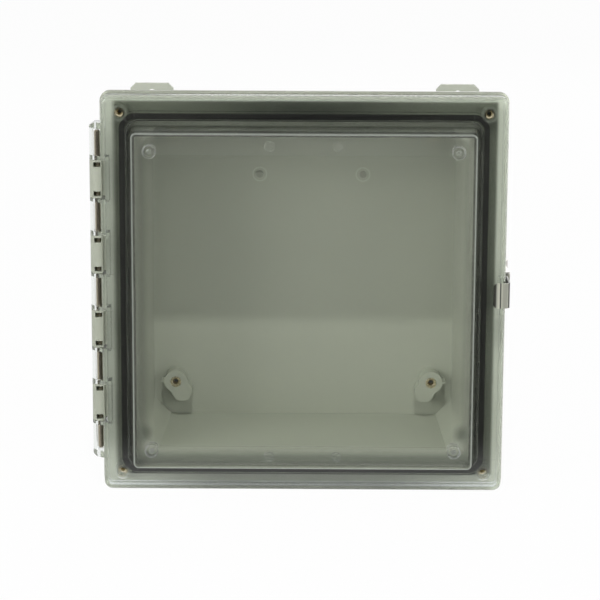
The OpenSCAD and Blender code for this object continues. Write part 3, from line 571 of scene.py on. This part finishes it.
def cover_zones_group():
    """Masks over the clear cover, seen from its front. The panel's, its edge's, its groove's and
    the step wall's come from the distance outside a rounded square, which is the distance past
    its corner centre less its corner radius: it is 0 along the foot of the step wall and falls
    inwards. Side Step is what lies outside the panel in the left and right quarters, where |x|
    is more than |z|. The seal channel lies outside the step wall and inside a rectangle. The
    others are bands, and the lower panel has a spot at each end of its strip."""
    if "Cover Zones" in bpy.data.node_groups:
        return bpy.data.node_groups["Cover Zones"]
    g = bpy.data.node_groups.new("Cover Zones", "ShaderNodeTree")
    gi, go = group_sockets(
        g, [("Half Side", "F", 0.1340), ("Corner Radius", "F", 0.010)],
        [("Outside Panel", "F"), ("Panel Edge", "F"), ("Side Step", "F"), ("Outside Step", "F"),
         ("Seal Channel", "F"), ("Top Middle", "F"), ("Lower Panel", "F"),
         ("Bottom Rim", "F"), ("Margin", "F"), ("Panel Groove", "F"), ("Hinge", "F"),
         ("Lip", "F"), ("Top Rim", "F")])
    # Most of these masks also bound painted shade laid into the cover's colour in clear_plastic
    bands = COVER_BANDS
    blend = 0.002
    masks = {}
    _, at = object_place(g)
    sizes = [math_node(g, "ABSOLUTE", at[axis]) for axis in "XZ"]
    centre = math_node(g, "SUBTRACT", gi.outputs["Half Side"], gi.outputs["Corner Radius"])
    out = math_node(g, "SUBTRACT", past_corner(g, sizes, centre), gi.outputs["Corner Radius"])

    outside_panel = ramp(g, out, *bands["outside panel"])
    masks["Outside Panel"] = outside_panel
    masks["Panel Edge"] = product(g, ramp(g, out, *bands["edge starts"]),
                                  ramp(g, out, *bands["edge ends"]),
                                  ramp(g, at["Y"], *bands["front face y"]))
    masks["Panel Groove"] = product(g, ramp(g, out, *bands["groove starts"]),
                                    ramp(g, out, *bands["groove ends"]))
    side = ramp(g, math_node(g, "SUBTRACT", *sizes), -blend, blend)
    masks["Side Step"] = product(g, outside_panel, side)
    masks["Outside Step"] = ramp(g, out, *bands["outside step"])

    masks["Seal Channel"] = product(
        g, masks["Outside Step"],
        *[ramp(g, at[axis], start, end) for axis, start, end in CHANNEL_SIDES])
    masks["Top Middle"] = product(g, masks["Seal Channel"],
                                  ramp(g, sizes[0], *bands["top middle |x|"]),
                                  ramp(g, at["Z"], *bands["upper z"]))
    masks["Bottom Rim"] = product(g, ramp(g, at["Z"], *bands["bottom rim starts z"]),
                                  ramp(g, at["Z"], *bands["bottom rim ends z"]),
                                  ramp(g, sizes[0], *bands["bottom middle |x|"]))

    strip = product(g, ridge(g, at["Z"], *LOWER_STRIP),
                    math_node(g, "SUBTRACT", 1.0, outside_panel))
    end = near(g, at, LOWER_END["x"], LOWER_END["z"])
    masks["Lower Panel"] = math_node(g, "MAXIMUM", strip,
                                     ramp(g, end, LOWER_END["radius"], 0.0))
    masks["Margin"] = ramp(g, math_node(g, "MAXIMUM", *sizes), *bands["margin"])
    masks["Hinge"] = ramp(g, at["X"], *bands["hinge x"])
    masks["Lip"] = math_node(g, "MAXIMUM", ramp(g, at["X"], *bands["left lip x"]),
                             ramp(g, at["X"], *bands["right lip x"]))
    masks["Top Rim"] = ramp(g, at["Z"], *bands["top rim z"])
    for name, mask in masks.items():
        g.links.new(mask, go.inputs[name])
    return g


def cover_marks_group():
    """Height, in millimetres, of the small round marks moulded in the panel: the four bosses,
    each a ring with a dome in it, and the four marks with a speckled middle. Glow is a painted
    highlight along their edges, and along those of the shallow recess, the corner holes and the
    raised corner pads."""
    if "Cover Marks" in bpy.data.node_groups:
        return bpy.data.node_groups["Cover Marks"]
    g = bpy.data.node_groups.new("Cover Marks", "ShaderNodeTree")
    gi, go = group_sockets(g, [("Height", "F", 0.5)], [("Height", "F"), ("Glow", "F")])
    lines, bands = MARK_LINES, MARK_BANDS
    speckle_height, speckle_glow, line_glow, hole_glow = 1.2, 1.6, 0.35, 0.8
    whole, at = object_place(g)
    face = ramp(g, at["Y"], *COVER_BANDS["raised y"])
    boss = near(g, at, BOSS_PLACE, BOSS_PLACE)
    mark = near(g, at, MARK_PLACE_X, MARK_PLACE_Z)
    speck = g.nodes.new("ShaderNodeTexNoise")
    speck.inputs["Scale"].default_value = 520
    g.links.new(whole, speck.inputs["Vector"])
    speckle = product(g, speck.outputs["Fac"], ramp(g, mark, *bands["speckle"]))

    total = math_node(g, "ADD", ridge(g, boss, *lines["boss ring"]),
                      ramp(g, boss, *bands["boss dome"]))
    total = math_node(g, "ADD", total, product(g, speckle, speckle_height))
    g.links.new(product(g, total, face, gi.outputs["Height"]), go.inputs["Height"])

    # Painted highlights: the marks' edges glow, though no lamp is there
    glow = math_node(g, "ADD", ridge(g, boss, *lines["boss ring glow"]),
                     ramp(g, boss, *bands["boss dome glow"]))
    glow = math_node(g, "ADD", glow, product(g, ramp(g, speckle, 0.46, 0.62), speckle_glow))
    sizes = [math_node(g, "ABSOLUTE", at[axis]) for axis in "XZ"]
    recess = past_corner(g, sizes, RECESS_HALF)
    outline = product(g, ridge(g, recess, *lines["recess"]), line_glow)
    glow = product(g, math_node(g, "ADD", glow, outline), face)
    hole = near(g, at, HOLE_PLACE, HOLE_PLACE)
    glow = math_node(g, "ADD", glow, product(g, ridge(g, hole, *lines["hole"]), hole_glow))
    for across, along in (sizes, sizes[::-1]):
        pad = product(g, ridge(g, across, *lines["corner pad"]),
                      ramp(g, along, *bands["corner pad starts"]),
                      ramp(g, along, *bands["corner pad ends"]), line_glow)
        glow = math_node(g, "ADD", glow, pad)
    g.links.new(glow, go.inputs["Glow"])
    return g


def mixed_colours(tree, first, *layers):
    """One colour laid over another: each layer is a mask socket and the colour where it is 1."""
    below = (*first, 1)
    for mask, colour in layers:
        mix = tree.nodes.new("ShaderNodeMix")
        mix.data_type = "RGBA"
        tree.links.new(mask, mix.inputs["Factor"])
        if isinstance(below, bpy.types.NodeSocket):
            tree.links.new(below, mix.inputs["A"])
        else:
            mix.inputs["A"].default_value = below
        mix.inputs["B"].default_value = (*colour, 1)
        below = mix.outputs["Result"]
    return below


def clear_plastic(name, s):
    """Clear moulding: polished on the raised panel, frosted by its draft on the step wall and
    the rim, with painted shade over the seal channel, the step wall and the panel's margins.
    Light goes straight through to what is behind it, a little shaded, and the panel's edge and
    small marks glow with a painted highlight."""
    polished, knuckle_frost = 0.01, 0.02
    mat, tree, out = node_tree(name)
    link = tree.links.new
    zones = tree.nodes.new("ShaderNodeGroup")
    zones.node_tree = cover_zones_group()
    mask = zones.outputs
    # Painted shade in every layer but the rim's and the knuckles', which are the plastic's own tint
    colour = mixed_colours(
        tree, s.tint, (mask["Lip"], s.lip_painted_shade), (mask["Lower Panel"], s.lower_painted_shade),
        (mask["Outside Panel"], s.step_painted_shade),
        (mask["Side Step"], s.side_painted_shade), (mask["Outside Step"], s.rim_tint),
        (mask["Seal Channel"], s.channel_painted_shade), (mask["Top Middle"], s.deep_painted_shade),
        (mask["Bottom Rim"], s.bottom_painted_shade), (mask["Panel Groove"], s.groove_painted_shade),
        (mask["Hinge"], s.hinge_tint), (mask["Top Rim"], s.top_painted_shade))
    rough = blend_values(tree, mask["Margin"], polished, s.margin_frost)
    rough = blend_values(tree, mask["Outside Panel"], rough, s.step_frost)
    rough = blend_values(tree, mask["Outside Step"], rough, s.rim_frost)
    rough = blend_values(tree, mask["Seal Channel"], rough, s.channel_frost)
    rough = blend_values(tree, mask["Hinge"], rough, knuckle_frost)
    shader = tree.nodes.new("ShaderNodeBsdfPrincipled")
    link(colour, shader.inputs["Base Color"])
    link(rough, shader.inputs["Roughness"])
    shader.inputs["Transmission Weight"].default_value = 1
    shader.inputs["IOR"].default_value = s.ior
    marks = tree.nodes.new("ShaderNodeGroup")
    marks.node_tree = cover_marks_group()
    # Painted highlight: the panel's edge and the small marks glow, though no lamp is there
    link(mixed_colours(tree, (0, 0, 0), (mask["Panel Edge"], s.edge_painted_highlight),
                       (marks.outputs["Glow"], s.mark_painted_highlight)),
         shader.inputs["Emission Color"])
    shader.inputs["Emission Strength"].default_value = 1
    bump = tree.nodes.new("ShaderNodeBump")
    bump.inputs["Distance"].default_value = MM
    link(marks.outputs["Height"], bump.inputs["Height"])
    link(bump.outputs["Normal"], shader.inputs["Normal"])
    lamp = tree.nodes.new("ShaderNodeBsdfTransparent")
    link(mixed_colours(tree, s.shade, (mask["Outside Step"], s.rim_shade)),
         lamp.inputs["Color"])
    path = tree.nodes.new("ShaderNodeLightPath")
    straight = math_node(tree, "MAXIMUM", path.outputs["Is Shadow Ray"],
                         path.outputs["Is Diffuse Ray"])
    mix = tree.nodes.new("ShaderNodeMixShader")
    link(straight, mix.inputs[0])
    link(shader.outputs[0], mix.inputs[1])
    link(lamp.outputs[0], mix.inputs[2])
    link(mix.outputs[0], out.inputs["Surface"])
    return mat


def body_painted_light_group():
    """How much lighter the box's colour is, as painted light and shade: lighter along its front
    edge, under the cover's rim, most on the latch side and darker on top; and a painted highlight
    in a thin ring round each pip on the back wall, with painted shade on the pip's top."""
    if "Body Zones" in bpy.data.node_groups:
        return bpy.data.node_groups["Body Zones"]
    g = bpy.data.node_groups.new("Body Zones", "ShaderNodeTree")
    gi, go = group_sockets(g, [("Colour", "C", (0.5, 0.5, 0.5, 1)), ("Latch Side", "F", 0.45),
                               ("Other Sides", "F", 0.20), ("Top", "F", -0.20),
                               ("Ring", "F", 0.24)], [("Colour", "C")])
    bands = BODY_BANDS
    _, at = object_place(g)
    sizes = [math_node(g, "ABSOLUTE", at[axis]) for axis in "XZ"]
    # Painted light along the front edge, painted shade where it runs over the top
    edge = product(g, ramp(g, math_node(g, "MAXIMUM", *sizes), *bands["front edge"]),
                   ramp(g, at["Y"], *bands["near front y"]),
                   ramp(g, at["X"], *bands["clear of hinge x"]))
    latch = ramp(g, at["X"], *bands["front edge"])
    lift = blend_values(g, latch, gi.outputs["Other Sides"], gi.outputs["Latch Side"])
    lift = blend_values(g, ramp(g, at["Z"], *bands["top skin z"]), lift, gi.outputs["Top"])

    # Painted highlight in the ring round each pip, painted shade on its top
    pip = near(g, at, PIP_PLACE_X, PIP_PLACE_Z)
    rings = math_node(g, "SUBTRACT", ridge(g, pip, *PIP_RING), ramp(g, pip, *bands["pip top"]))
    rings = product(g, rings, ramp(g, at["Y"], *bands["before wall y"]),
                    ramp(g, at["Y"], *bands["inside wall y"]), gi.outputs["Ring"])
    light = math_node(g, "ADD", math_node(g, "ADD", product(g, edge, lift), rings), 1.0)
    g.links.new(scaled_colour(g, gi.outputs["Colour"], light), go.inputs["Colour"])
    return g


def through_group(material, group):
    """Sends a material's base colour through a shader group."""
    tree = material.node_tree
    shader = next(n for n in tree.nodes if n.type == "BSDF_PRINCIPLED")
    plain = shader.inputs["Base Color"].links[0].from_socket
    node = tree.nodes.new("ShaderNodeGroup")
    node.node_tree = group
    tree.links.new(plain, node.inputs["Colour"])
    tree.links.new(node.outputs["Colour"], shader.inputs["Base Color"])
    return shader


def wear(material, *names):
    """Gives a CAD node its finished material."""
    for n in names:
        NODES[n].data.materials.clear()
        NODES[n].data.materials.append(material)


# ---------- mesh tools ----------


def grid_mesh(name, points, close_u, close_v):
    """A quad mesh from points[u, v], joined end to end along u and along v where asked."""
    nu, nv = points.shape[:2]
    u = np.arange(nu if close_u else nu - 1)
    v = np.arange(nv if close_v else nv - 1)
    uu, vv = np.meshgrid(u, v, indexing="ij")
    un, vn = (uu + 1) % nu, (vv + 1) % nv
    quads = np.stack([uu * nv + vv, un * nv + vv, un * nv + vn, uu * nv + vn], -1).reshape(-1, 4)
    mesh = bpy.data.meshes.new(name)
    mesh.from_pydata(points.reshape(-1, 3).tolist(), [], quads.tolist())
    mesh.polygons.foreach_set("use_smooth", np.ones(len(quads), bool))
    mesh.update()
    return mesh


def add_piece(name, mesh, body, material):
    """Links a finished mesh as a piece that rides on a CAD body."""
    obj = bpy.data.objects.new(name, mesh)
    bpy.context.scene.collection.objects.link(obj)
    mesh.materials.append(material)
    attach(obj, body)
    return obj


def bush_points(centre, outer, bore, length, pitch, sides=48):
    """Threaded bush about -Y from its mouth: the loop outside, mouth, bore, back is carried
    once round the axis. The bore's radius is bore minus a triangle wave of (depth / pitch minus
    angle / 2 pi), which is one helical thread that fades out at both ends. The outside has a
    groove round its middle."""
    chamfer, groove, lip, thread = 0.0003, 0.0004, 0.0004, 0.00042
    around = np.linspace(0, 2 * math.pi, sides, endpoint=False)[:, None]
    outside_d = [length - chamfer, length * 0.6, length * 0.55, length * 0.45, length * 0.4,
                 chamfer, 0.0]
    outside_r = [outer, outer, outer - groove, outer - groove, outer, outer, outer - chamfer]
    mouth_d, mouth_r = [0.0, lip * 0.5], [bore + lip, bore + lip * 0.4]
    bore_d = np.linspace(0.0005, length - 0.0004, 90)
    back_r = [bore + lip, outer - chamfer]
    depth = np.concatenate([outside_d, mouth_d, bore_d, [length, length]])
    radius = np.concatenate([outside_r, mouth_r, np.full(len(bore_d), bore), back_r])
    first = len(outside_d) + len(mouth_d)
    share = np.zeros(len(depth))
    share[first:first + len(bore_d)] = np.clip(np.minimum(bore_d, length - bore_d) / pitch, 0, 1)
    phase = depth[None, :] / pitch - around / (2 * math.pi)
    wave = np.abs((phase % 1) * 2 - 1)
    r = radius[None, :] - share[None, :] * wave * thread
    x = centre[0] + r * np.cos(around)
    z = centre[2] + r * np.sin(around)
    y = np.broadcast_to(centre[1] + depth[None, :], r.shape)
    return np.stack([x, y, z], -1)


# ---------- operators ----------


class ENCLOSURE_OT_dress_body(bpy.types.Operator):
    """Gives the moulded box and its feet their grey plastic"""

    bl_idname = "enclosure.dress_body"
    bl_label = "Dress Body"

    def execute(self, context):
        s = context.scene.enclosure_plastic
        grey = moulded_plastic("Grey Polycarbonate", s.body_colour, s.grain_size, s.grain_depth)
        # painted light and shade along the box's front edge and round its pips
        through_group(grey, body_painted_light_group())
        wear(grey, "enclosure_body")
        wear(moulded_plastic("Foot Plastic", s.foot_colour, s.grain_size, s.grain_depth),
             *[f"mounting_foot_{i}" for i in CORNERS])
        return {"FINISHED"}


class ENCLOSURE_OT_dress_cover(bpy.types.Operator):
    """Gives the cover its clear plastic and the gasket its black foam"""

    bl_idname = "enclosure.dress_cover"
    bl_label = "Dress Cover"

    def execute(self, context):
        s = context.scene.enclosure_cover
        wear(clear_plastic("Clear Polycarbonate", s), "clear_cover")
        wear(moulded_plastic("Gasket Foam", s.gasket_colour, 0.0006, 0.00012, 0.7, 0.4), "gasket")
        return {"FINISHED"}


class ENCLOSURE_OT_build_bushes(bpy.types.Operator):
    """Builds the threaded brass bushes in place of the plain ones"""

    bl_idname = "enclosure.build_bushes"
    bl_label = "Build Brass Bushes"

    def execute(self, context):
        s = context.scene.enclosure_metal
        brass = brushed_metal("Turned Brass", s.brass, TURNED, 0.28)
        for kind, bore in BUSH_BORES:
            for i in CORNERS:
                node = f"{kind}_{i}"
                low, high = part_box(node)
                middle = (low + high) / 2
                points = bush_points((middle.x, low.y, middle.z), (high.x - low.x) / 2,
                                     bore + ROOT_GAP, high.y - low.y, THREAD_PITCH)
                mesh = grid_mesh(node + "_threaded", points, True, True)
                piece = add_piece(node + "_threaded", mesh, "enclosure", brass)
                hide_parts(node)
        return {"FINISHED"}


class ENCLOSURE_OT_dress_metal(bpy.types.Operator):
    """Gives the hinge pin, the latch and the foot screws their metal"""

    bl_idname = "enclosure.dress_metal"
    bl_label = "Dress Metal"

    def execute(self, context):
        s = context.scene.enclosure_metal
        drawn = brushed_metal("Drawn Stainless", s.stainless, DRAWN, 0.22)
        rod = brushed_metal("Hinge Rod", s.rod, DRAWN, 0.22)
        rolled = brushed_metal("Rolled Stainless", s.stainless, ROLLED, 0.38)
        claw = brushed_metal("Curled Stainless", s.claw, ROLLED, 0.36)
        # painted reflection bands on the claw's lip and painted shade on its inner skin
        through_group(claw, claw_painted_light_group()).inputs["Metallic"].default_value = 0.55
        plated = brushed_metal("Plated Zinc", s.zinc, PLATED, 0.35)
        wear(rod, "hinge_pin")
        wear(drawn, "latch_pivot_pin", "latch_claw_pin", "latch_rivets")
        wear(rolled, "latch_base", "latch_lever")
        wear(claw, "latch_claw")
        wear(plated, *[f"foot_screw_{i}" for i in CORNERS])
        return {"FINISHED"}


class ENCLOSURE_OT_build_studio(bpy.types.Operator):
    """Builds the pale floor, the soft lamps and the camera"""

    bl_idname = "enclosure.build_studio"
    bl_label = "Build Studio"

    def execute(self, context):
        s = context.scene.enclosure_studio
        build_floor(s.front_glow)
        build_world(s.world_strength, s.front_glow)
        key = add_lamp("Key", KEY_PLACE, s.key_size, s.key_power)
        # so small a lamp would glint along the panel's top edge
        key.visible_glossy = False
        for name, place, size in BROAD_LAMPS:
            add_lamp(name, place, size, getattr(s, name.lower() + "_power"))
        build_camera(s.lens)
        context.scene.view_settings.view_transform = "Standard"
        return {"FINISHED"}


def behind_ramp(tree, place, start, end, least):
    """A ramp of a vector's y from least, in front of the box, up to 1 behind it."""
    split = tree.nodes.new("ShaderNodeSeparateXYZ")
    tree.links.new(place, split.inputs[0])
    return blend_values(tree, ramp(tree, split.outputs["Y"], start, end), least, 1.0)


def seen_white(tree, behind):
    """Two sockets: 1 for what the camera sees, straight, in a mirror or through clear plastic,
    and 0 for the light that a matt surface gathers; and how white that is, which is 1, or the
    ramp behind the box where a surface reflects it."""
    path = tree.nodes.new("ShaderNodeLightPath")
    seen = math_node(tree, "MAXIMUM", path.outputs["Is Camera Ray"], path.outputs["Is Glossy Ray"])
    seen = math_node(tree, "MAXIMUM", seen, path.outputs["Is Transmission Ray"])
    seen = math_node(tree, "MULTIPLY", seen,
                     math_node(tree, "LESS_THAN", path.outputs["Diffuse Depth"], 0.5))
    straight = math_node(tree, "LESS_THAN", path.outputs["Glossy Depth"], 0.5)
    return seen, math_node(tree, "MAXIMUM", straight, behind)


def build_floor(least):
    """A round flat floor, as rings of points about the origin. It is seen nearly white, and as
    the least share of white where the box reflects the part in front of it."""
    low = CAD_BOX[0].z - 0.0004
    around = np.linspace(0, 2 * math.pi, 96, endpoint=False)[:, None]
    out = np.array([0.001, 0.5, 1, 2, 4, 9])[None, :]
    x, y = out * np.cos(around), out * np.sin(around)
    points = np.stack([x, y, np.full(x.shape, low)], -1)
    mesh = grid_mesh("Floor", points, True, False)
    floor = bpy.data.objects.new("Floor", mesh)
    bpy.context.scene.collection.objects.link(floor)
    mat, tree, output = node_tree("Pale Floor")
    matt = tree.nodes.new("ShaderNodeBsdfDiffuse")
    matt.inputs["Color"].default_value = (0.8, 0.8, 0.8, 1)
    white = tree.nodes.new("ShaderNodeEmission")
    coord = tree.nodes.new("ShaderNodeTexCoord")
    behind = behind_ramp(tree, coord.outputs["Object"], *FLOOR_TURN, least)
    seen, whiteness = seen_white(tree, behind)
    tree.links.new(whiteness, white.inputs["Strength"])
    mix = tree.nodes.new("ShaderNodeMixShader")
    tree.links.new(math_node(tree, "MULTIPLY", seen, FLOOR_WHITE), mix.inputs[0])
    tree.links.new(matt.outputs[0], mix.inputs[1])
    tree.links.new(white.outputs[0], mix.inputs[2])
    tree.links.new(mix.outputs[0], output.inputs["Surface"])
    mesh.materials.append(mat)


def build_world(strength, least):
    """Even light from all round, seen as white, and as the least share of white where the box
    reflects the side in front of it."""
    world = bpy.data.worlds.new("Studio")
    bpy.context.scene.world = world
    world.use_nodes = True
    tree = world.node_tree
    tree.nodes.clear()
    even = tree.nodes.new("ShaderNodeBackground")
    even.inputs["Color"].default_value = (1, 1, 1, 1)
    even.inputs["Strength"].default_value = strength
    out = tree.nodes.new("ShaderNodeOutputWorld")
    white = tree.nodes.new("ShaderNodeBackground")
    white.inputs["Color"].default_value = (1, 1, 1, 1)
    coord = tree.nodes.new("ShaderNodeTexCoord")
    behind = behind_ramp(tree, coord.outputs["Generated"], *WORLD_TURN, least)
    seen, whiteness = seen_white(tree, behind)
    tree.links.new(whiteness, white.inputs["Strength"])
    mix = tree.nodes.new("ShaderNodeMixShader")
    tree.links.new(seen, mix.inputs[0])
    tree.links.new(even.outputs[0], mix.inputs[1])
    tree.links.new(white.outputs[0], mix.inputs[2])
    tree.links.new(mix.outputs[0], out.inputs["Surface"])


def add_lamp(name, place, size, power):
    """A square lamp at place that points at the middle of the box. Its light goes straight
    through the clear plastic, so it is hidden from bent rays, which would count it twice."""
    lamp = bpy.data.lights.new(name, "AREA")
    lamp.energy = power
    lamp.size = size
    obj = bpy.data.objects.new(name, lamp)
    obj.location = place
    ahead = (CAD_BOX[0] + CAD_BOX[1]) / 2 - Vector(place)
    obj.rotation_euler = ahead.to_track_quat("-Z", "Y").to_euler()
    obj.visible_transmission = False
    bpy.context.scene.collection.objects.link(obj)
    return obj


def build_camera(lens):
    """A long lens in front of the box, looking down 12.2 degrees: distance back from the point
    it aims at, along its yaw and pitch, with a slight roll."""
    aim = Vector((-2.64, -111.0, -4.77)) * MM
    distance = 1.8332
    yaw, pitch, roll = (math.radians(a) for a in (-0.214, 12.197, 0.255))
    ahead = Vector((math.sin(yaw) * math.cos(pitch), math.cos(yaw) * math.cos(pitch),
                    -math.sin(pitch)))
    right = Vector((math.cos(yaw), -math.sin(yaw), 0))
    up = right.cross(ahead)
    turned = math.cos(roll) * right + math.sin(roll) * up
    upper = -math.sin(roll) * right + math.cos(roll) * up
    data = bpy.data.cameras.new("Camera")
    data.lens = lens
    data.sensor_width = 36
    data.clip_start = 0.05
    data.clip_end = 50
    camera = bpy.data.objects.new("Camera", data)
    place = aim - distance * ahead
    axes = Matrix((turned, upper, -ahead)).transposed().to_4x4()
    camera.matrix_world = Matrix.Translation(place) @ axes
    bpy.context.scene.collection.objects.link(camera)
    bpy.context.scene.camera = camera


STEPS = ("dress_body", "dress_cover", "build_bushes", "dress_metal", "build_studio")


class ENCLOSURE_PT_panel(bpy.types.Panel):
    """Lists the steps and their settings."""

    bl_idname = "ENCLOSURE_PT_panel"
    bl_label = "Hinged Enclosure"
    bl_space_type = "VIEW_3D"
    bl_region_type = "UI"
    bl_category = "Enclosure"

    def draw(self, context):
        for step in STEPS:
            self.layout.operator("enclosure." + step)
        for group in SETTINGS:
            box = self.layout.box()
            values = getattr(context.scene, group)
            for prop in values.bl_rna.properties:
                if prop.identifier not in {"rna_type", "name"}:
                    box.prop(values, prop.identifier)


SETTINGS = {
    "enclosure_plastic": PlasticSettings,
    "enclosure_cover": CoverSettings,
    "enclosure_metal": MetalSettings,
    "enclosure_studio": StudioSettings,
}
CLASSES = (
    PlasticSettings, CoverSettings, MetalSettings, StudioSettings,
    ENCLOSURE_OT_dress_body, ENCLOSURE_OT_dress_cover, ENCLOSURE_OT_build_bushes,
    ENCLOSURE_OT_dress_metal, ENCLOSURE_OT_build_studio, ENCLOSURE_PT_panel,
)


def register():
    """Registers the classes and hangs the settings on the scene."""
    for c in CLASSES:
        bpy.utils.register_class(c)
    for name, group in SETTINGS.items():
        setattr(bpy.types.Scene, name, PointerProperty(type=group))


def unregister():
    """Takes the settings and the classes away again."""
    for name in SETTINGS:
        delattr(bpy.types.Scene, name)
    for c in reversed(CLASSES):
        bpy.utils.unregister_class(c)


def main():
    """Builds the whole scene."""
    register()
    for step in STEPS:
        getattr(bpy.ops.enclosure, step)()


if __name__ == "__main__":
    main()
